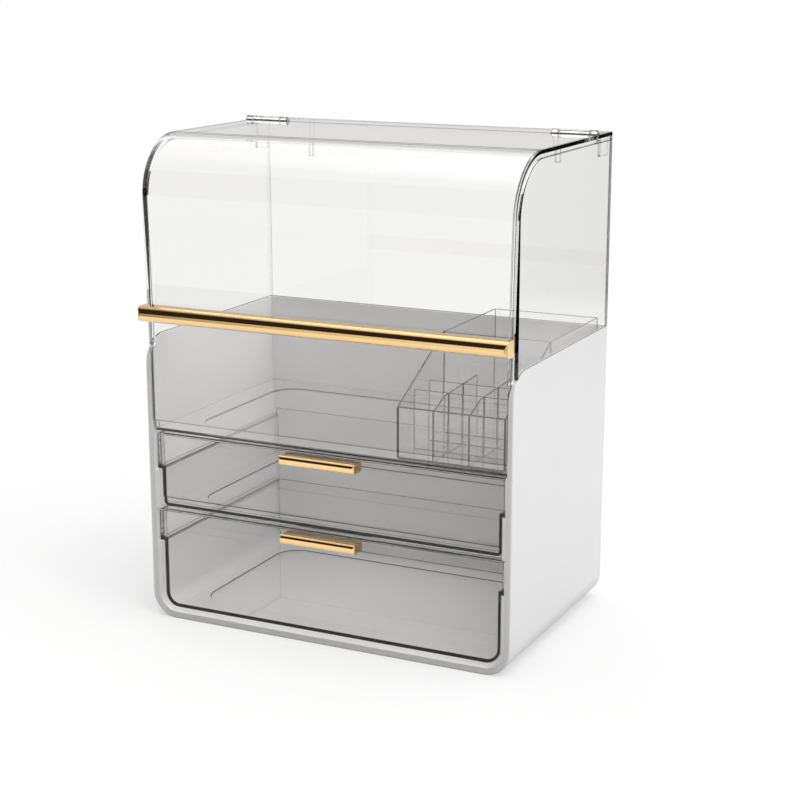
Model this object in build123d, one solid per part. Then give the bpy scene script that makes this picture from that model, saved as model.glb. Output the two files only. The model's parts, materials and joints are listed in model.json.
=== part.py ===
"""Dustproof makeup organizer: white casing, two clear drawers, clear flip-up lid and a lipstick caddy.

Millimetres, +Z up, front towards -Y. The origin is the centre of the casing's footprint on the table.
"""
from build123d import *
import os
from math import sqrt

# ---- casing ----
casing_width = 300.0
casing_depth = 190.0
rim_height = 222.0
rim_corner_radius = 22.0
casing_corner_radius = 20.0
shell_wall = 4.0
shell_edge_round = 1.2
back_panel_wall = 4.0
panel_fit = 0.1

# ---- drawer bay ----
liner_wall = 1.2
liner_floor = 1.6
groove_depth = 1.9
bay_base_gap = 2.4
front_gap = 2.4
side_gap = 2.3
guide_play = 0.3

# ---- drawers ----
lower_front_height = 78.7
upper_front_height = 58.2
lower_guide_height = 25.7
upper_guide_height = 28.5
lower_corner_radius = 11.0
upper_corner_radius = 4.0
drawer_top_round = 2.5
drawer_wall = 2.0
drawer_rim_wall = 2.0
drawer_front_wall = 3.0
drawer_front_recess = 3.5
front_return_depth = 5.5
front_return_wall = 2.6
upper_back_rise = 5.0
drawer_back_gap = 4.0
foot_band_height = 7.0
foot_band_depth = 1.2
foot_band_bevel = 0.6
floor_margin = 20.0
floor_recess = 0.6

# ---- well above the drawers ----
deck_gap = 1.35
tray_wall = 2.0
tray_fit = 0.4
tray_margin = 22.0
tray_recess = 0.8
tray_recess_radius = 20.0
tray_lip_height = 6.0
tray_lip_wall = 1.5
tray_lip_inset = 2.8

# ---- clear hood and lid ----
roof_height = 371.5
lid_front_recess = 1.2
lid_front_radius = 46.0
lid_wall = 3.0
lid_flange = 5.8
lid_flange_wall = 3.0
lid_gap = 0.4
lid_side_play = 0.8
lid_bottom_round = 3.0
window_wall = 3.0
window_tab_length = 16.0
window_tab_wall = 1.6
window_tab_depth = 5.0
tab_fit = 0.1
rail_wall = 3.0
clip_wall = 2.0
clip_length = 22.0
clip_width = 4.0
clip_offset = 106.0
side_clip_length = 14.0
side_clip_width = 18.0

# ---- lid hinges ----
hinge_setback = 31.5
knuckle_radius = 3.5
ear_length = 6.0
hinge_length = 37.0
hinge_end_gap = 0.4
hinge_turn_gap = 0.5
seam_half_gap = 1.0
pin_radius = 1.25
pin_fit = 0.05
pin_end_inset = 0.3

# ---- handles and screws ----
lid_handle_end_gap = 1.0
lid_handle_height = 12.0
lid_handle_depth = 12.2
lid_handle_centre_height = 241.0
lid_handle_front_round = 5.0
handle_length = 62.0
handle_depth = 13.0
handle_height = 7.3
handle_bead_depth = 5.5
handle_bead_round = 2.6
handle_tongue_height = 6.4
handle_top_drop = 1.6
handle_end_round = 1.6
screw_radius = 1.45
screw_grip = 6.0
screw_fit = 0.05
screw_clearance = 0.15
screw_head_radius = 2.7
screw_head_height = 1.8
drawer_screw_offset = 20.0
lid_screw_inset = 29.0

# ---- lipstick caddy ----
caddy_width = 84.2
caddy_side_gap = 3.7
caddy_front_gap = 0.3
caddy_back_gap = 1.6
caddy_wall = 1.4
caddy_height = 78.3
caddy_front_height = 38.3
caddy_corner_radius = 2.2
slot_rows = 3
slot_columns = 3
slot_pitch_depth = 25.6
divider_wall = 1.4
divider_height = 44.0
divider_front_height = 36.0
divider_back_height = 47.0
divider_nose_run = 19.0
divider_nose_round = 14.0
divider_fit = 0.1
lap_fit = 0.1

# ---- worked out from the sizes above ----
half_width = casing_width / 2
lid_handle_half = half_width - lid_handle_end_gap
front_y = -casing_depth / 2
back_y = casing_depth / 2
shell_inner = half_width - shell_wall
groove_inner = shell_inner - liner_wall
step_inner = groove_inner - groove_depth
bay_floor_z = shell_wall + liner_floor
lower_bottom = bay_floor_z + bay_base_gap
lower_top = lower_bottom + lower_front_height
upper_bottom = lower_top + front_gap
upper_top = upper_bottom + upper_front_height
deck_z = upper_top + deck_gap
tray_top = deck_z + tray_wall
panel_front_y = back_y - back_panel_wall
drawer_front_y = front_y + drawer_front_recess
drawer_back_y = panel_front_y - drawer_back_gap
lid_front_y = front_y + lid_front_recess
lid_inner_y = lid_front_y + lid_wall
lid_bottom = deck_z + deck_gap
window_top = roof_height - lid_flange - lid_gap
hinge_y = back_y - hinge_setback
hinge_inner_x = half_width - hinge_length
rail_underside = roof_height - rail_wall


def block(x0, x1, y0, y1, z0, z1):
    """Rectangular block between two corners."""
    return Pos((x0 + x1) / 2, (y0 + y1) / 2, (z0 + z1) / 2) * Box(x1 - x0, y1 - y0, z1 - z0)


def along_x(section, x0, x1):
    """Extrude a Y-Z section from x0 to x1."""
    return extrude(Plane.YZ.offset(x0) * section, amount=x1 - x0)


def along_y(section, y0, y1):
    """Extrude an X-Z section from y0 to y1."""
    return extrude(Plane.XZ.offset(-y1) * section, amount=y1 - y0)


def rod_x(x0, x1, y, z, radius):
    """Round bar parallel to X."""
    return along_x(Pos(y, z) * Circle(radius), x0, x1)


def rod_y(y0, y1, x, z, radius):
    """Round bar parallel to Y."""
    return along_y(Pos(x, z) * Circle(radius), y0, y1)


def rectangle(u0, u1, v0, v1):
    return Pos((u0 + u1) / 2, (v0 + v1) / 2) * Rectangle(u1 - u0, v1 - v0)


def both_sides(solid):
    """The solid and its mirror image in the centre plane."""
    return [solid, mirror(solid, Plane.YZ)]


def u_section(half, bottom, top, radius):
    """Upright rectangle in X-Z with its two bottom corners rounded."""
    section = rectangle(-half, half, bottom, top)
    return fillet(section.vertices().group_by(Axis.Y)[0], radius)


def rounded_plan(half_length, y0, y1, z0, z1, radius):
    """Block rounded in plan at its two front corners, for trimming the ends of a handle."""
    plan = rectangle(-half_length, half_length, y0, y1)
    plan = fillet(plan.vertices().group_by(Axis.Y)[0], radius)
    return extrude(Pos(0, 0, z0) * plan, amount=z1 - z0)


def front_corner(section):
    """The top corner of a Y-Z section that faces the front."""
    return section.vertices().group_by(Axis.Y)[-1].sort_by(Axis.X)[0]


def casing_profile(clearance):
    """Side view of the casing, rounded at the front of its rim, grown by a clearance."""
    section = rectangle(front_y - clearance, back_y, 0, rim_height + clearance)
    return fillet(front_corner(section), rim_corner_radius + clearance)


def hood_profile(inset):
    """Side view of the hood, drawn in from the outside by an inset."""
    section = rectangle(lid_front_y + inset, back_y + lid_flange, 0, roof_height - inset)
    return fillet(front_corner(section), lid_front_radius - inset)


# ---- casing ----
window_tab_x = half_width - shell_wall / 2
window_tab_centres = [front_y + casing_depth * share for share in (0.35, 0.8)]
rear_tab_y = back_y - back_panel_wall / 2


def side_tab(y, growth, depth):
    """Tab under a side window, or the slot for it when grown."""
    half_wall = window_tab_wall / 2 + growth
    half_length = window_tab_length / 2 + growth
    return block(window_tab_x - half_wall, window_tab_x + half_wall, y - half_length, y + half_length,
                 rim_height - depth, rim_height + growth)


def rear_tab(x, growth, depth):
    """Tab under the rear window, or the slot for it when grown."""
    half_wall = window_tab_wall / 2 + growth
    half_length = window_tab_length / 2 + growth
    return block(x - half_length, x + half_length, rear_tab_y - half_wall, rear_tab_y + half_wall,
                 rim_height - depth, rim_height + growth)


rear_tab_centres = [-casing_width / 4, casing_width / 4]
slot_depth = window_tab_depth + tab_fit


def make_casing_shell():
    outer = u_section(half_width, 0, rim_height, casing_corner_radius)
    inner = u_section(shell_inner, shell_wall, rim_height + 1, casing_corner_radius - shell_wall)
    shell = along_y(outer, front_y, back_y) & along_x(casing_profile(0), -half_width, half_width)
    front_edges = shell.edges().filter_by(lambda e: e.center().Y < front_y + rim_corner_radius
                                          and e.center().Z < rim_height - rim_corner_radius / 4)
    shell = fillet(front_edges, shell_edge_round)
    shell -= along_y(inner, front_y - 1, back_y + 1)
    for y in window_tab_centres:
        for slot in both_sides(side_tab(y, tab_fit, slot_depth)):
            shell -= slot
    return shell


def make_back_panel():
    section = u_section(shell_inner - panel_fit, shell_wall, rim_height, casing_corner_radius - shell_wall)
    panel = along_y(section, panel_front_y, back_y)
    for x in rear_tab_centres:
        panel -= rear_tab(x, tab_fit, slot_depth)
    return panel


def bay_section(half_narrow, half_wide, bottom, shoulder, top, radius):
    """Stepped section of a drawer or of its bay: narrow below the shoulder, wide above it."""
    narrow = u_section(half_narrow, bottom, shoulder, radius)
    return narrow + rectangle(-half_wide, half_wide, shoulder, top)


lower_shoulder = lower_top - lower_guide_height
upper_shoulder = upper_top - upper_guide_height
bay_split = (lower_top + upper_bottom) / 2


def make_bay_liner():
    outer = u_section(shell_inner - panel_fit, shell_wall, deck_z, casing_corner_radius - shell_wall)
    lower = bay_section(step_inner, groove_inner, bay_floor_z, lower_shoulder - guide_play, bay_split,
                        lower_corner_radius + bay_base_gap)
    upper = rectangle(-step_inner, step_inner, bay_split, upper_shoulder - guide_play)
    upper += rectangle(-groove_inner, groove_inner, upper_shoulder - guide_play, deck_z + 1)
    return along_y(outer - lower - upper, front_y, panel_front_y)


# ---- drawers ----
def handle_screw_holes(x_offsets, z, y0, y1, radius):
    return [rod_y(y0, y1, x, z, radius) for x in x_offsets]


def foot_band(half, face_y, bottom):
    """Cutter for the shallow band along the foot of a front, with a bevel where the face above it ends."""
    band_top = bottom + foot_band_height
    section = make_face(Polyline((face_y - 1, bottom - 1), (face_y + foot_band_depth, bottom - 1),
                                 (face_y + foot_band_depth, band_top), (face_y + foot_band_bevel, band_top),
                                 (face_y - 1, band_top + foot_band_bevel + 1), close=True))
    return along_x(section, -half, half)


drawer_half = step_inner - side_gap
drawer_rim_half = groove_inner - guide_play


def make_drawer(bottom, shoulder, top, radius, back_rise, handle_z, has_band):
    """Clear one-piece drawer: a box that hangs on the liner's ledges by its rims, behind a taller stepped front."""
    plate_back = drawer_front_y + drawer_front_wall
    front = along_y(bay_section(drawer_half, drawer_rim_half, bottom, shoulder, top, radius),
                    drawer_front_y, plate_back)
    top_corners = front.edges().filter_by(Axis.Y).group_by(Axis.Z)[-1]
    front = fillet(top_corners, drawer_top_round)
    returns = rectangle(-drawer_rim_half, drawer_rim_half, shoulder, top)
    returns = fillet(returns.vertices().group_by(Axis.Y)[-1], drawer_top_round)
    return_half = drawer_rim_half - front_return_wall
    returns -= rectangle(-return_half, return_half, shoulder - 1, top - drawer_rim_wall)
    rim_top = shoulder + drawer_rim_wall
    back_top = rim_top + back_rise
    inner_half = drawer_half - drawer_wall
    box = along_y(u_section(drawer_half, bottom, rim_top, radius), plate_back, drawer_back_y)
    box -= along_y(u_section(inner_half, bottom + drawer_wall, top, max(radius - drawer_wall, 1.0)),
                   plate_back, drawer_back_y - drawer_wall)
    for rim in both_sides(block(inner_half, drawer_rim_half, plate_back, drawer_back_y, shoulder, rim_top)):
        box += rim
    if back_rise > 0:
        box += block(-drawer_half, drawer_half, drawer_back_y - drawer_wall, drawer_back_y, rim_top, back_top)
    pan_half = drawer_half - floor_margin
    pan = rectangle(-pan_half, pan_half, drawer_front_y + floor_margin, drawer_back_y - floor_margin)
    pan = fillet(pan.vertices(), floor_margin)
    pan_z = bottom + drawer_wall
    box -= extrude(Pos(0, 0, pan_z - floor_recess) * pan, amount=floor_recess)
    drawer = front + along_y(returns, plate_back, plate_back + front_return_depth) + box
    if has_band:
        drawer -= foot_band(drawer_half + 1, drawer_front_y, bottom)
    offsets = (-drawer_screw_offset, drawer_screw_offset)
    for hole in handle_screw_holes(offsets, handle_z, drawer_front_y - 1, plate_back + 1,
                                   screw_radius + screw_clearance):
        drawer -= hole
    return drawer


def make_drawer_handle(top):
    """Gold pull: a tongue on the drawer's front that ends in a rounded bead."""
    handle_top = top - handle_top_drop
    middle = handle_top - handle_height / 2
    bead_front = drawer_front_y - handle_depth
    bead = rectangle(bead_front, bead_front + handle_bead_depth, handle_top - handle_height, handle_top)
    bead = fillet(bead.vertices(), handle_bead_round)
    tongue = rectangle(bead_front + handle_bead_depth / 2, drawer_front_y,
                       middle - handle_tongue_height / 2, middle + handle_tongue_height / 2)
    handle = along_x(bead + tongue, -handle_length / 2, handle_length / 2)
    handle &= rounded_plan(handle_length / 2, bead_front, drawer_front_y, handle_top - handle_height,
                           handle_top, handle_end_round)
    for hole in handle_screw_holes((-drawer_screw_offset, drawer_screw_offset), middle,
                                   drawer_front_y - screw_grip - screw_fit, drawer_front_y,
                                   screw_radius + screw_fit):
        handle -= hole
    return handle


def make_screw(x, z, seat_y, panel_wall):
    """Pan-head screw pushed in from behind a panel, with its head on the panel's inner face."""
    shank = rod_y(seat_y - panel_wall - screw_grip, seat_y, x, z, screw_radius)
    head = rod_y(seat_y, seat_y + screw_head_height, x, z, screw_head_radius)
    head = chamfer(head.edges().group_by(Axis.Y)[-1], screw_head_height / 3)
    return shank + head


def drawer_handle_middle(top):
    return top - handle_top_drop - handle_height / 2


def make_drawer_screws(top):
    seat = drawer_front_y + drawer_front_wall
    middle = drawer_handle_middle(top)
    return Compound(children=[make_screw(x, middle, seat, drawer_front_wall)
                              for x in (-drawer_screw_offset, drawer_screw_offset)])


# ---- well tray ----
def make_well_tray():
    half = shell_inner - tray_fit
    tray_front = lid_inner_y + tray_fit
    tray_back = panel_front_y - tray_fit
    tray = block(-half, half, tray_front, tray_back, deck_z, tray_top)
    pan = rectangle(-half + tray_margin, half - tray_margin, tray_front + tray_margin, tray_back - tray_margin)
    pan = fillet(pan.vertices(), tray_recess_radius)
    tray -= extrude(Pos(0, 0, tray_top - tray_recess) * pan, amount=tray_recess)
    lip_half = half - tray_lip_inset
    tray += block(-lip_half, lip_half, tray_front, tray_front + tray_lip_wall,
                  tray_top, tray_top + tray_lip_height)
    return tray


# ---- clear hood ----
def make_side_window():
    """Right-hand window: its front follows the lid and its foot follows the casing's rim."""
    outline = hood_profile(lid_flange + lid_gap) & rectangle(front_y, back_y, 0, roof_height)
    rim = rectangle(front_y - 1, back_y + 1, 0, rim_height)
    rim = fillet(front_corner(rim), rim_corner_radius)
    window = along_x(outline - rim, half_width - window_wall, half_width)
    for y in window_tab_centres:
        window += side_tab(y, 0, window_tab_depth)
    return window


def make_rear_window():
    half = half_width - window_wall - panel_fit
    window = block(-half, half, back_y - window_wall, back_y, rim_height, rail_underside)
    for x in rear_tab_centres:
        window += rear_tab(x, 0, window_tab_depth)
    return window


def knuckle(x0, x1):
    """Hinge knuckle between two stations, with the bore for the pin."""
    return rod_x(x0, x1, hinge_y, roof_height, knuckle_radius)


def ear_spans():
    """Stations of the right-hand hinge's two fixed ears."""
    return [(hinge_inner_x, hinge_inner_x + ear_length), (half_width - ear_length, half_width)]


barrel_span = (hinge_inner_x + ear_length + hinge_end_gap, half_width - ear_length - hinge_end_gap)
pin_bore = rod_x(hinge_inner_x - 1, half_width + 1, hinge_y, roof_height, pin_radius + pin_fit)


def make_top_rail():
    """Fixed rear strip of the roof, with the hinge ears and the clips that hold the windows."""
    rail_front = hinge_y + seam_half_gap
    rail = block(-half_width, half_width, rail_front, back_y, rail_underside, roof_height)
    turn_room = hinge_y + knuckle_radius + hinge_turn_gap
    for notch in both_sides(block(barrel_span[0] - hinge_end_gap, barrel_span[1] + hinge_end_gap,
                                  rail_front - 1, turn_room, rail_underside - 1, roof_height + 1)):
        rail -= notch
    for end in both_sides(block(half_width - window_wall, half_width, turn_room, back_y,
                                window_top, rail_underside)):
        rail += end
    for x0, x1 in ear_spans():
        for ear in both_sides(knuckle(x0, x1)):
            rail += ear
    side_clip_x = half_width - window_wall - panel_fit
    side_clip_y = (turn_room + back_y - window_wall) / 2
    for clip in both_sides(block(side_clip_x - clip_wall, side_clip_x, side_clip_y - side_clip_width / 2,
                                 side_clip_y + side_clip_width / 2, rail_underside - side_clip_length,
                                 rail_underside)):
        rail += clip
    clip_y = back_y - window_wall - panel_fit
    for clip in both_sides(block(clip_offset - clip_width / 2, clip_offset + clip_width / 2,
                                 clip_y - clip_wall, clip_y, rail_underside - clip_length, rail_underside)):
        rail += clip
    for bore in both_sides(pin_bore):
        rail -= bore
    return rail


def make_hinge_pins():
    return Compound(children=both_sides(rod_x(hinge_inner_x + pin_end_inset, half_width - pin_end_inset,
                                              hinge_y, roof_height, pin_radius)))


# ---- lid ----
lid_foot_half = shell_inner - lid_side_play


def lid_taper(inset):
    """Everything between the lid's side faces, which draw in from the roof down to the casing's mouth."""
    foot = lid_foot_half + lid_gap - inset
    head = half_width - inset
    outline = make_face(Polyline((foot, lid_bottom), (head, roof_height), (-head, roof_height),
                                 (-foot, lid_bottom), close=True))
    return along_y(outline, front_y - 1, back_y)


def make_lid():
    """Clear lid: roof and front in one curved sheet, flanged at the sides, hanging into the casing's mouth."""
    reach = lid_taper(0) & block(-half_width, half_width, front_y, hinge_y - seam_half_gap,
                                 lid_bottom, roof_height)
    lid = along_x(hood_profile(0) - hood_profile(lid_wall), -half_width, half_width)
    flange = along_x(hood_profile(0) - hood_profile(lid_flange) - casing_profile(lid_gap), -half_width, half_width)
    lid += flange - lid_taper(lid_flange_wall)
    lid &= reach
    for relief in both_sides(along_x(casing_profile(lid_gap), lid_foot_half, half_width + 1)):
        lid -= relief
    foot = lid.edges().filter_by(Axis.Y).group_by(Axis.Z)[0]
    lid = fillet(foot, lid_bottom_round)
    ear_front = hinge_y - knuckle_radius - hinge_turn_gap
    for x0, x1 in ear_spans():
        for notch in both_sides(block(x0 - hinge_end_gap, x1 + hinge_end_gap, ear_front, hinge_y,
                                      window_top, roof_height + 1)):
            lid -= notch
    for barrel in both_sides(knuckle(*barrel_span)):
        lid += barrel
    for bore in both_sides(pin_bore):
        lid -= bore
    lid -= foot_band(half_width, lid_front_y, lid_bottom)
    for hole in handle_screw_holes(lid_screw_stations, lid_handle_centre_height, lid_front_y - 1,
                                   lid_inner_y + 1, screw_radius + screw_clearance):
        lid -= hole
    return lid


lid_screw_stations = (lid_screw_inset - lid_handle_half, 0, lid_handle_half - lid_screw_inset)


def make_lid_handle():
    """Gold bar across the lid: flat at the back, rounded at the front and at both ends."""
    low = lid_handle_centre_height - lid_handle_height / 2
    section = rectangle(lid_front_y - lid_handle_depth, lid_front_y, low, low + lid_handle_height)
    section = fillet(section.vertices().group_by(Axis.X)[0], lid_handle_front_round)
    bar = along_x(section, -lid_handle_half, lid_handle_half)
    bar &= rounded_plan(lid_handle_half, lid_front_y - lid_handle_depth, lid_front_y, low,
                        low + lid_handle_height, handle_bead_round)
    for hole in handle_screw_holes(lid_screw_stations, lid_handle_centre_height,
                                   lid_front_y - screw_grip - screw_fit, lid_front_y, screw_radius + screw_fit):
        bar -= hole
    return bar


def make_lid_screws():
    return Compound(children=[make_screw(x, lid_handle_centre_height, lid_inner_y, lid_wall)
                              for x in lid_screw_stations])


# ---- lipstick caddy ----
caddy_right = shell_inner - caddy_side_gap
caddy_left = caddy_right - caddy_width
caddy_front = lid_inner_y + tray_fit + tray_lip_wall + caddy_front_gap
caddy_back = panel_front_y - caddy_back_gap
caddy_floor = tray_top + caddy_wall
slots_back = caddy_front + caddy_wall + slot_rows * slot_pitch_depth
slot_pitch_width = (caddy_width - caddy_wall) / slot_columns


def make_caddy_box():
    """Clear box with raked sides: a low front for the slots and a tall bin behind them."""
    low_top = tray_top + caddy_front_height
    high_top = tray_top + caddy_height
    side = make_face(Polyline((caddy_front, tray_top), (caddy_front, low_top), (slots_back, high_top),
                              (caddy_back, high_top), (caddy_back, tray_top), close=True))
    box = along_x(side, caddy_left, caddy_right)
    box = fillet(box.edges().filter_by(Axis.Y).group_by(Axis.Z)[0], caddy_corner_radius)
    inner_left = caddy_left + caddy_wall
    inner_right = caddy_right - caddy_wall
    inner_round = caddy_corner_radius - caddy_wall
    for y0, y1 in ((caddy_front + caddy_wall, slots_back), (slots_back + caddy_wall, caddy_back - caddy_wall)):
        hollow = block(inner_left, inner_right, y0, y1, caddy_floor, high_top + 1)
        box -= fillet(hollow.edges().filter_by(Axis.Y).group_by(Axis.Z)[0], inner_round)
    return box


def row_station(row):
    return caddy_front + caddy_wall + row * slot_pitch_depth


def column_station(column):
    return caddy_left + caddy_wall / 2 + column * slot_pitch_width


lap_height = caddy_floor + divider_height / 2
lap_half = divider_wall / 2 + lap_fit
divider_knee = caddy_front + caddy_wall + divider_fit + divider_nose_run
divider_back = slots_back - divider_fit


def divider_top(y):
    """Height of the dividers' top edge behind the knee, where it climbs towards the back."""
    climb = (divider_back_height - divider_height) / (divider_back - divider_knee)
    return caddy_floor + divider_height + climb * (y - divider_knee)


def make_long_dividers():
    """Two sheets from front to back, rounded at the nose and slotted from the top."""
    y0 = caddy_front + caddy_wall + divider_fit
    y1 = divider_back
    knee_z = divider_top(divider_knee)
    outline = make_face(Polyline((y0, caddy_floor), (y0, caddy_floor + divider_front_height),
                                 (divider_knee, knee_z), (y1, divider_top(y1)), (y1, caddy_floor), close=True))
    knee = outline.vertices().sort_by(lambda v: abs(v.X - divider_knee) + abs(v.Y - knee_z))[0]
    outline = fillet(knee, divider_nose_round)
    for row in range(1, slot_rows):
        centre = row_station(row)
        outline -= rectangle(centre - lap_half, centre + lap_half, lap_height, divider_top(y1) + 1)
    return Compound(children=[along_x(outline, column_station(c) - divider_wall / 2,
                                      column_station(c) + divider_wall / 2)
                              for c in range(1, slot_columns)])


def make_cross_divider(row):
    """Sheet across the slots, as high as the long sheets where it meets them and slotted from below."""
    x0 = caddy_left + caddy_wall + divider_fit
    x1 = caddy_right - caddy_wall - divider_fit
    outline = rectangle(x0, x1, caddy_floor, divider_top(row_station(row)))
    outline = fillet(outline.vertices().group_by(Axis.Y)[0], caddy_corner_radius - caddy_wall)
    for column in range(1, slot_columns):
        centre = column_station(column)
        outline -= rectangle(centre - lap_half, centre + lap_half, caddy_floor - 1, lap_height)
    return along_y(outline, row_station(row) - divider_wall / 2, row_station(row) + divider_wall / 2)


def make_cross_dividers():
    return Compound(children=[make_cross_divider(row) for row in range(1, slot_rows)])


right_window = make_side_window()
parts = {
    "casing_shell": make_casing_shell(),
    "back_panel": make_back_panel(),
    "drawer_bay_liner": make_bay_liner(),
    "well_tray": make_well_tray(),
    "right_side_window": right_window,
    "left_side_window": mirror(right_window, Plane.YZ),
    "rear_window": make_rear_window(),
    "top_rail": make_top_rail(),
    "hinge_pins": make_hinge_pins(),
    "lid": make_lid(),
    "lid_handle": make_lid_handle(),
    "lid_handle_screws": make_lid_screws(),
    "lower_drawer": make_drawer(lower_bottom, lower_shoulder, lower_top, lower_corner_radius, 0,
                                drawer_handle_middle(lower_top), False),
    "lower_drawer_handle": make_drawer_handle(lower_top),
    "lower_handle_screws": make_drawer_screws(lower_top),
    "upper_drawer": make_drawer(upper_bottom, upper_shoulder, upper_top, upper_corner_radius, upper_back_rise,
                                drawer_handle_middle(upper_top), True),
    "upper_drawer_handle": make_drawer_handle(upper_top),
    "upper_handle_screws": make_drawer_screws(upper_top),
    "caddy_box": make_caddy_box(),
    "caddy_long_dividers": make_long_dividers(),
    "caddy_cross_dividers": make_cross_dividers(),
}

os.makedirs("parts", exist_ok=True)
for name, shape in parts.items():
    export_step(shape, "parts/" + name + ".step")
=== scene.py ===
"""Looks for the dustproof makeup organizer: materials, rounded edges, floor, lamps and camera.

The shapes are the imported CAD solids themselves. Modifiers only round their edges and part
the clear faces that touch. Lengths are in metres, the camera's sensor and focal length in
millimetres, lamp powers in watts and colours in linear RGB.
"""

import json
import math

import bpy
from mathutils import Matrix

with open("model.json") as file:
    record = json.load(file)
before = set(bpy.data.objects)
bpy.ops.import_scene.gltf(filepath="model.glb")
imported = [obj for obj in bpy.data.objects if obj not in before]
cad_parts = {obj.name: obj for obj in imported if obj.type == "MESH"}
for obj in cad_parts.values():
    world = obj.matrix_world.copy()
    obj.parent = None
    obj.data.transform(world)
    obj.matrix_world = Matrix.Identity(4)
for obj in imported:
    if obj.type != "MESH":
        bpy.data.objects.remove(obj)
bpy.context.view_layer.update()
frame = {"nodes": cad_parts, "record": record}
nodes = frame["nodes"]
slot_of = {piece["node"]: piece["material_slot"] for piece in frame["record"]["subparts"]}

# ---- rounded edges ----
window_round = 0.00015
sheet_round = 0.0002
liner_round = 0.0004
casing_round = 0.0005
other_round = 0.0003
edge_round = {
    "right_side_window": window_round, "left_side_window": window_round,
    "rear_window": window_round, "lid": sheet_round, "top_rail": sheet_round,
    "well_tray": sheet_round, "drawer_bay_liner": liner_round,
    "casing_shell": casing_round, "back_panel": casing_round,
}
clear_segments = 1
opaque_segments = 2
weld_reach = 0.00001
flat_angle = math.radians(0.5)
crease_angle = math.radians(25)
bevel_angle = math.radians(35)
air_gap = 0.00004
same_place_digits = 6

# ---- painted shade on the rims of the clear pieces: strip widths, heights above the table, normals ----
body_slot = 0
painted_shade_slot = 1
thinnest_rim = 0.0009
widest_caddy_rim = 0.0018
widest_lid_rim = 0.0034
lid_foot_height = 0.152
mouth_height = 0.214
window_foot = 0.2172
sideways = 0.999
upright = 0.005
downwards = -0.5

# ---- floor ----
floor_half = 20.0
floor_grey = 0.45
floor_lift = 0.45
floor_fade = (0.30, 0.75)
gloss_fade = (1.05, 1.6)
gloss_level = 0.02

# ---- surroundings ----
back_fade = (-0.45, 0.10)
back_level = 0.68
top_fade = (0.76, 0.92)
top_level = 1.1
dark_side = (0.034, 0.021, 0.014)
lamp_target = (0, 0, 0.18)

# ---- camera, fitted to the photo ----
sensor_width = 36
focal_length = 80.07
nearest_view = 0.01
camera_place = (0.5942, -1.1921, 0.4996)
camera_down_degrees = 13.996
camera_turn_degrees = 25.813

# ---- light paths ----
most_bounces = 32
most_transparent = 48
most_glossy = 8


# ---- node helpers ----
def new_material(name):
    material = bpy.data.materials.new(name)
    material.use_nodes = True
    tree = material.node_tree
    tree.nodes.clear()
    return material, tree


def feed(tree, socket, value):
    """Link the socket to another node's output, or set it to a constant."""
    if isinstance(value, bpy.types.NodeSocket):
        tree.links.new(value, socket)
    else:
        socket.default_value = value


def add(tree, kind, **values):
    """New node with some of its inputs fed by name."""
    node = tree.nodes.new(kind)
    for name, value in values.items():
        feed(tree, node.inputs[name.replace("_", " ")], value)
    return node


def feed_in_order(tree, node, *values):
    """Feed the node's inputs from the first one on, and give its first output."""
    for socket, value in zip(node.inputs, values):
        feed(tree, socket, value)
    return node.outputs[0]


def noise(tree, scale, detail, roughness=0.55, stretch=(1, 1, 1)):
    """Noise in the object's own metres."""
    place = add(tree, "ShaderNodeTexCoord")
    mapping = add(tree, "ShaderNodeMapping", Vector=place.outputs["Object"], Scale=stretch)
    texture = add(tree, "ShaderNodeTexNoise", Vector=mapping.outputs["Vector"],
                  Scale=scale, Detail=detail, Roughness=roughness)
    return texture.outputs["Fac"]


def ramp(tree, value, low, high):
    """Map a 0 to 1 value to the range low to high."""
    node = add(tree, "ShaderNodeMapRange", Value=value, To_Min=low, To_Max=high)
    return node.outputs["Result"]


def step_range(tree, value, start, stop):
    """0 below start, 1 above stop, smooth in between."""
    node = add(tree, "ShaderNodeMapRange", Value=value, From_Min=start, From_Max=stop)
    node.interpolation_type = "SMOOTHSTEP"
    return node.outputs["Result"]


def bump(tree, height, strength, distance):
    node = add(tree, "ShaderNodeBump", Height=height, Strength=strength, Distance=distance)
    return node.outputs["Normal"]


def maths(tree, operation, first, second):
    """Arithmetic on two values, each a node's output or a plain number."""
    node = tree.nodes.new("ShaderNodeMath")
    node.operation = operation
    return feed_in_order(tree, node, first, second)


def colour_mix(tree, factor, first, second):
    node = tree.nodes.new("ShaderNodeMix")
    node.data_type = "RGBA"
    for name, value in (("Factor", factor), ("A", (*first, 1)), ("B", (*second, 1))):
        feed(tree, node.inputs[name], value)
    return node.outputs["Result"]


def shader_mix(tree, factor, first, second):
    """First shader where the factor is 0, second shader where it is 1."""
    return feed_in_order(tree, tree.nodes.new("ShaderNodeMixShader"), factor, first, second)


def shader_sum(tree, first, second):
    return feed_in_order(tree, tree.nodes.new("ShaderNodeAddShader"), first, second)


# ---- materials ----
def moulded_plastic(name, light, dark, roughness):
    """White moulded plastic: satin gloss, a faint flow mottle and a very fine grain."""
    material, tree = new_material(name)
    cloud = noise(tree, scale=9.0, detail=3.0)
    patches = noise(tree, scale=40.0, detail=5.0)
    grain = noise(tree, scale=900.0, detail=2.0)
    shader = add(tree, "ShaderNodeBsdfPrincipled", IOR=1.5, Coat_Weight=0.12, Coat_Roughness=0.12,
                 Base_Color=colour_mix(tree, cloud, light, dark),
                 Roughness=ramp(tree, patches, low=roughness - 0.05, high=roughness + 0.06),
                 Normal=bump(tree, grain, strength=0.08, distance=0.0002))
    add(tree, "ShaderNodeOutputMaterial", Surface=shader.outputs["BSDF"])
    return material


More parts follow.
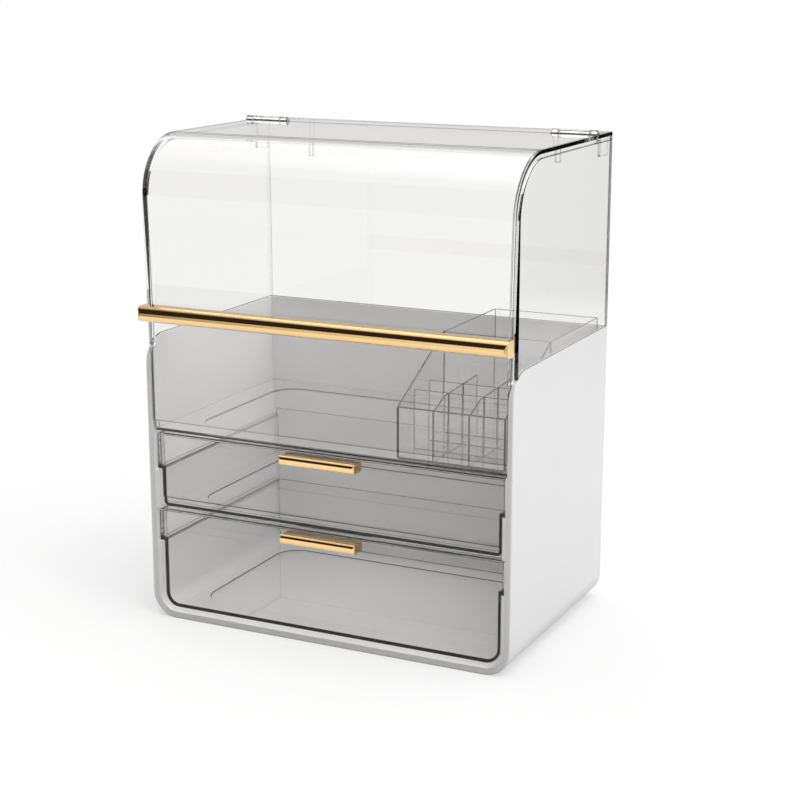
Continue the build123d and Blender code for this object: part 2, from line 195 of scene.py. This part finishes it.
def clear_plastic(name, tint, absorbed, density, shade):
    """Clear plastic that refracts and darkens along its length, and that light shines through."""
    material, tree = new_material(name)
    flow = noise(tree, scale=14.0, detail=2.0)
    glass = add(tree, "ShaderNodeBsdfPrincipled", IOR=1.47, Roughness=0.005,
                Transmission_Weight=1.0, Base_Color=(*tint, 1),
                Normal=bump(tree, flow, strength=0.006, distance=0.002))
    through = add(tree, "ShaderNodeBsdfTransparent", Color=(*shade, 1))
    path = add(tree, "ShaderNodeLightPath")
    lit = maths(tree, "MAXIMUM", path.outputs["Is Shadow Ray"], path.outputs["Is Diffuse Ray"])
    body = add(tree, "ShaderNodeVolumeAbsorption", Color=(*absorbed, 1), Density=density)
    add(tree, "ShaderNodeOutputMaterial", Volume=body.outputs["Volume"],
        Surface=shader_mix(tree, lit, glass.outputs["BSDF"], through.outputs["BSDF"]))
    return material


def painted_shade_rim(name, light, dark):
    """Painted shade on the narrow rim of a clear sheet, which looks nearly black because light is
    trapped behind it: an opaque near-black surface stands in for that.
    """
    material, tree = new_material(name)
    streaks = noise(tree, scale=150.0, detail=3.0)
    shader = add(tree, "ShaderNodeBsdfPrincipled", IOR=1.47,
                 Base_Color=colour_mix(tree, streaks, light, dark),
                 Roughness=ramp(tree, streaks, low=0.12, high=0.25))
    add(tree, "ShaderNodeOutputMaterial", Surface=shader.outputs["BSDF"])
    return material


def polished_gold(name):
    """Gold-coloured metal, polished, with hairlines along its length and slight tarnish."""
    material, tree = new_material(name)
    tarnish = noise(tree, scale=60.0, detail=4.0)
    hairs = noise(tree, scale=220.0, detail=3.0, roughness=0.6, stretch=(0.02, 1, 1))
    shader = add(tree, "ShaderNodeBsdfPrincipled", Metallic=1.0,
                 Base_Color=colour_mix(tree, tarnish, (0.90, 0.65, 0.34), (0.85, 0.58, 0.28)),
                 Roughness=ramp(tree, hairs, low=0.05, high=0.11),
                 Normal=bump(tree, hairs, strength=0.04, distance=0.0001))
    add(tree, "ShaderNodeOutputMaterial", Surface=shader.outputs["BSDF"])
    return material


def bright_steel(name):
    """Plain steel with short streaks."""
    material, tree = new_material(name)
    streaks = noise(tree, scale=500.0, detail=3.0, roughness=0.6, stretch=(0.05, 1, 1))
    shader = add(tree, "ShaderNodeBsdfPrincipled", Metallic=1.0,
                 Base_Color=colour_mix(tree, streaks, (0.42, 0.42, 0.43), (0.56, 0.56, 0.57)),
                 Roughness=ramp(tree, streaks, low=0.22, high=0.38))
    add(tree, "ShaderNodeOutputMaterial", Surface=shader.outputs["BSDF"])
    return material


finishes = {
    "white_casing": moulded_plastic("white_casing", light=(0.80, 0.80, 0.80),
                                    dark=(0.76, 0.76, 0.765), roughness=0.34),
    # Painted light: the liner is a lighter white than the casing, to brighten the dim inside of
    # the drawer bay.
    "white_liner": moulded_plastic("white_liner", light=(0.87, 0.87, 0.865),
                                   dark=(0.83, 0.83, 0.83), roughness=0.42),
    "clear": clear_plastic("clear", tint=(1.0, 1.0, 1.0), absorbed=(0.80, 0.785, 0.76),
                           density=45.0, shade=(0.99, 0.99, 0.99)),
    "smoky_clear": clear_plastic("smoky_clear", tint=(0.985, 0.985, 0.985),
                                 absorbed=(0.56, 0.54, 0.51), density=26.0,
                                 shade=(0.97, 0.97, 0.97)),
    "gold": polished_gold("gold"),
    "steel": bright_steel("steel"),
}

# Painted shade: near-black opaque materials for the rims and rounds of the clear pieces.
painted_rim_shades = {
    "clear": painted_shade_rim("clear_edge", light=(0.06, 0.056, 0.052), dark=(0.035, 0.032, 0.030)),
    "smoky_clear": painted_shade_rim("smoky_edge", light=(0.016, 0.014, 0.014),
                            dark=(0.010, 0.009, 0.009)),
}


# ---- rims and edges ----
def strip_widths(mesh):
    """For each face, the width of the smooth region it belongs to, taken as a long strip."""
    places = {}
    corner = []
    for vertex in mesh.vertices:
        place = tuple(round(c, same_place_digits) for c in vertex.co)
        corner.append(places.setdefault(place, len(places)))
    sides = {}
    for face in mesh.polygons:
        ring = list(face.vertices)
        for a, b in zip(ring, ring[1:] + ring[:1]):
            key = (min(corner[a], corner[b]), max(corner[a], corner[b]))
            length = (mesh.vertices[a].co - mesh.vertices[b].co).length
            sides.setdefault(key, (length, []))[1].append(face.index)
    leader = list(range(len(mesh.polygons)))

    def region(index):
        while leader[index] != index:
            index = leader[index]
        return index

    for _, faces in sides.values():
        if len(faces) == 2:
            first, second = (mesh.polygons[index] for index in faces)
            if first.normal.dot(second.normal) > math.cos(crease_angle):
                leader[region(first.index)] = region(second.index)
    area, border = {}, {}
    home = [region(index) for index in range(len(mesh.polygons))]
    for face in mesh.polygons:
        area[home[face.index]] = area.get(home[face.index], 0) + face.area
    for length, faces in sides.values():
        owners = {home[index] for index in faces}
        if len(owners) > 1:
            for owner in owners:
                border[owner] = border.get(owner, 0) + length
    return [2 * area[owner] / border.get(owner, 1) for owner in home]


def wears_painted_shade(name, face, width):
    """Rims that the photo shows as dark lines.

    They are the lid's foot and its sides in the casing's mouth, the shoulders on which the
    windows stand, and the tops of the caddy's walls and dividers. Their faces wear painted shade:
    a near-black rim material in place of the shadow and trapped light that darken them.
    """
    if name == "lid":
        on_side = abs(face.normal.x) > sideways and abs(face.normal.z) < upright
        in_mouth = on_side and face.center.z < mouth_height
        at_foot = thinnest_rim < width < widest_lid_rim and face.center.z < lid_foot_height
        return in_mouth or at_foot
    if name.endswith("window"):
        return face.normal.z < downwards and face.center.z > window_foot
    return name.startswith("caddy") and thinnest_rim < width < widest_caddy_rim


def round_edges(node, width):
    """Weld the CAD faces' borders and give every crease a narrow round.

    A clear piece's rounds wear the rim material, painted shade that darkens them. Its flat faces
    are merged before the bevel, so that slivers in the mesh don't hold it back.
    """
    mesh = node.data
    uses = {}
    for face in mesh.polygons:
        for key in face.edge_keys:
            uses[key] = uses.get(key, 0) + 1
    for edge in mesh.edges:
        if uses[edge.key] == 1:
            edge.use_edge_sharp = True
    weld = node.modifiers.new("weld", "WELD")
    weld.merge_threshold = weld_reach
    clear = slot_of[node.name] in painted_rim_shades
    if clear:
        merge = node.modifiers.new("flat faces", "DECIMATE")
        merge.decimate_type = "DISSOLVE"
        merge.angle_limit = flat_angle
        merge.delimit = {"MATERIAL"}
    bevel = node.modifiers.new("edge round", "BEVEL")
    bevel.width = width
    bevel.segments = clear_segments if clear else opaque_segments
    bevel.limit_method = "ANGLE"
    bevel.angle_limit = bevel_angle
    bevel.use_clamp_overlap = not clear
    bevel.harden_normals = True
    # Painted shade: the rounds of a clear piece wear the near-black rim material.
    bevel.material = painted_shade_slot if clear else body_slot


def draw_in(node):
    """Part the clear faces that touch in the CAD model, which render as blotches otherwise."""
    shrink = node.modifiers.new("air gap", "DISPLACE")
    shrink.mid_level = 0
    shrink.strength = -air_gap


for name, node in nodes.items():
    slot = slot_of[name]
    mesh = node.data
    mesh.materials.clear()
    mesh.materials.append(finishes[slot])
    mesh.shade_smooth()
    round_edges(node, edge_round.get(name, other_round))
    if slot in painted_rim_shades:
        draw_in(node)
        # Painted shade: the rim faces picked below wear the near-black rim material.
        mesh.materials.append(painted_rim_shades[slot])
        for face, width in zip(mesh.polygons, strip_widths(mesh)):
            if wears_painted_shade(name, face, width):
                face.material_index = painted_shade_slot


# ---- floor, light and camera ----
def studio_floor():
    """White floor that keeps the object's shadow near it and turns plain white further out.

    Reflections see it lit near the object and nearly black further out, which gives the gold
    its dark line.
    """
    material, tree = new_material("floor")
    path = add(tree, "ShaderNodeLightPath")
    glossy = path.outputs["Is Glossy Ray"]
    seen = maths(tree, "MAXIMUM", path.outputs["Is Camera Ray"],
                 path.outputs["Is Transmission Ray"])
    lifted = maths(tree, "MAXIMUM", seen, glossy)
    place = add(tree, "ShaderNodeTexCoord")
    distance = add(tree, "ShaderNodeVectorMath", Vector=place.outputs["Object"])
    distance.operation = "LENGTH"
    far = step_range(tree, distance.outputs["Value"], *floor_fade)
    beyond = step_range(tree, distance.outputs["Value"], *gloss_fade)
    matte = add(tree, "ShaderNodeBsdfDiffuse", Roughness=1.0,
                Color=(floor_grey, floor_grey, floor_grey, 1))
    lift = add(tree, "ShaderNodeEmission", Strength=maths(tree, "MULTIPLY", lifted, floor_lift))
    black = add(tree, "ShaderNodeEmission", Strength=gloss_level)
    white = add(tree, "ShaderNodeEmission")
    near = shader_sum(tree, matte.outputs[0], lift.outputs[0])
    gloss = shader_mix(tree, maths(tree, "MULTIPLY", glossy, beyond), near, black.outputs[0])
    both = shader_mix(tree, maths(tree, "MULTIPLY", seen, far), gloss, white.outputs[0])
    add(tree, "ShaderNodeOutputMaterial", Surface=both)
    return material


floor_mesh = bpy.data.meshes.new("floor")
floor_mesh.from_pydata([(-floor_half, -floor_half, 0), (floor_half, -floor_half, 0),
                        (floor_half, floor_half, 0), (-floor_half, floor_half, 0)],
                       [], [(0, 1, 2, 3)])
floor = bpy.data.objects.new("floor", floor_mesh)
floor.data.materials.append(studio_floor())
bpy.context.scene.collection.objects.link(floor)


def softbox(name, location, size, power):
    """Square lamp that faces the middle of the object."""
    lamp = bpy.data.lights.new(name, "AREA")
    lamp.shape = "SQUARE"
    lamp.size = size
    lamp.energy = power
    holder = bpy.data.objects.new(name, lamp)
    holder.location = location
    right, ahead, up = (t - p for t, p in zip(lamp_target, location))
    tilt = math.pi / 2 + math.atan2(up, math.hypot(right, ahead))
    holder.rotation_euler = (tilt, 0, math.atan2(-right, ahead))
    bpy.context.scene.collection.objects.link(holder)
    return holder


softbox("key", (1.7, -1.6, 1.9), size=2.4, power=22)
top = softbox("top", (0.0, 0.2, 2.4), size=4.4, power=78)
top.visible_glossy = False
softbox("side", (2.3, -0.2, 1.1), size=1.8, power=16)
rear = softbox("rear", (-1.9, 1.7, 1.2), size=2.2, power=20)
rear.visible_glossy = False
rear.visible_transmission = False


def studio_world():
    """White behind the object and overhead, dark brown elsewhere to give metal and edges contrast.

    The camera itself sees plain white everywhere.
    """
    world = bpy.data.worlds.new("studio")
    world.use_nodes = True
    tree = world.node_tree
    tree.nodes.clear()
    place = add(tree, "ShaderNodeTexCoord")
    split = add(tree, "ShaderNodeSeparateXYZ", Vector=place.outputs["Generated"])
    path = add(tree, "ShaderNodeLightPath")
    behind = step_range(tree, split.outputs["Y"], *back_fade)
    overhead = step_range(tree, split.outputs["Z"], *top_fade)
    level = maths(tree, "MAXIMUM", maths(tree, "MULTIPLY", behind, back_level),
                  maths(tree, "MULTIPLY", overhead, top_level))
    back = add(tree, "ShaderNodeBackground", Color=(1, 1, 1, 1),
               Strength=maths(tree, "MAXIMUM", level, path.outputs["Is Camera Ray"]))
    dark = add(tree, "ShaderNodeBackground", Color=(*dark_side, 1))
    both = shader_sum(tree, back.outputs["Background"], dark.outputs["Background"])
    add(tree, "ShaderNodeOutputWorld", Surface=both)
    return world


scene = bpy.context.scene
scene.world = studio_world()
scene.view_settings.view_transform = "Standard"
scene.cycles.max_bounces = most_bounces
scene.cycles.transmission_bounces = most_bounces
scene.cycles.transparent_max_bounces = most_transparent
scene.cycles.glossy_bounces = most_glossy

camera_data = bpy.data.cameras.new("camera")
camera_data.sensor_width = sensor_width
camera_data.lens = focal_length
camera_data.clip_start = nearest_view
camera = bpy.data.objects.new("camera", camera_data)
camera.location = camera_place
camera.rotation_euler = (math.radians(90 - camera_down_degrees), 0,
                         math.radians(camera_turn_degrees))
scene.collection.objects.link(camera)
scene.camera = camera
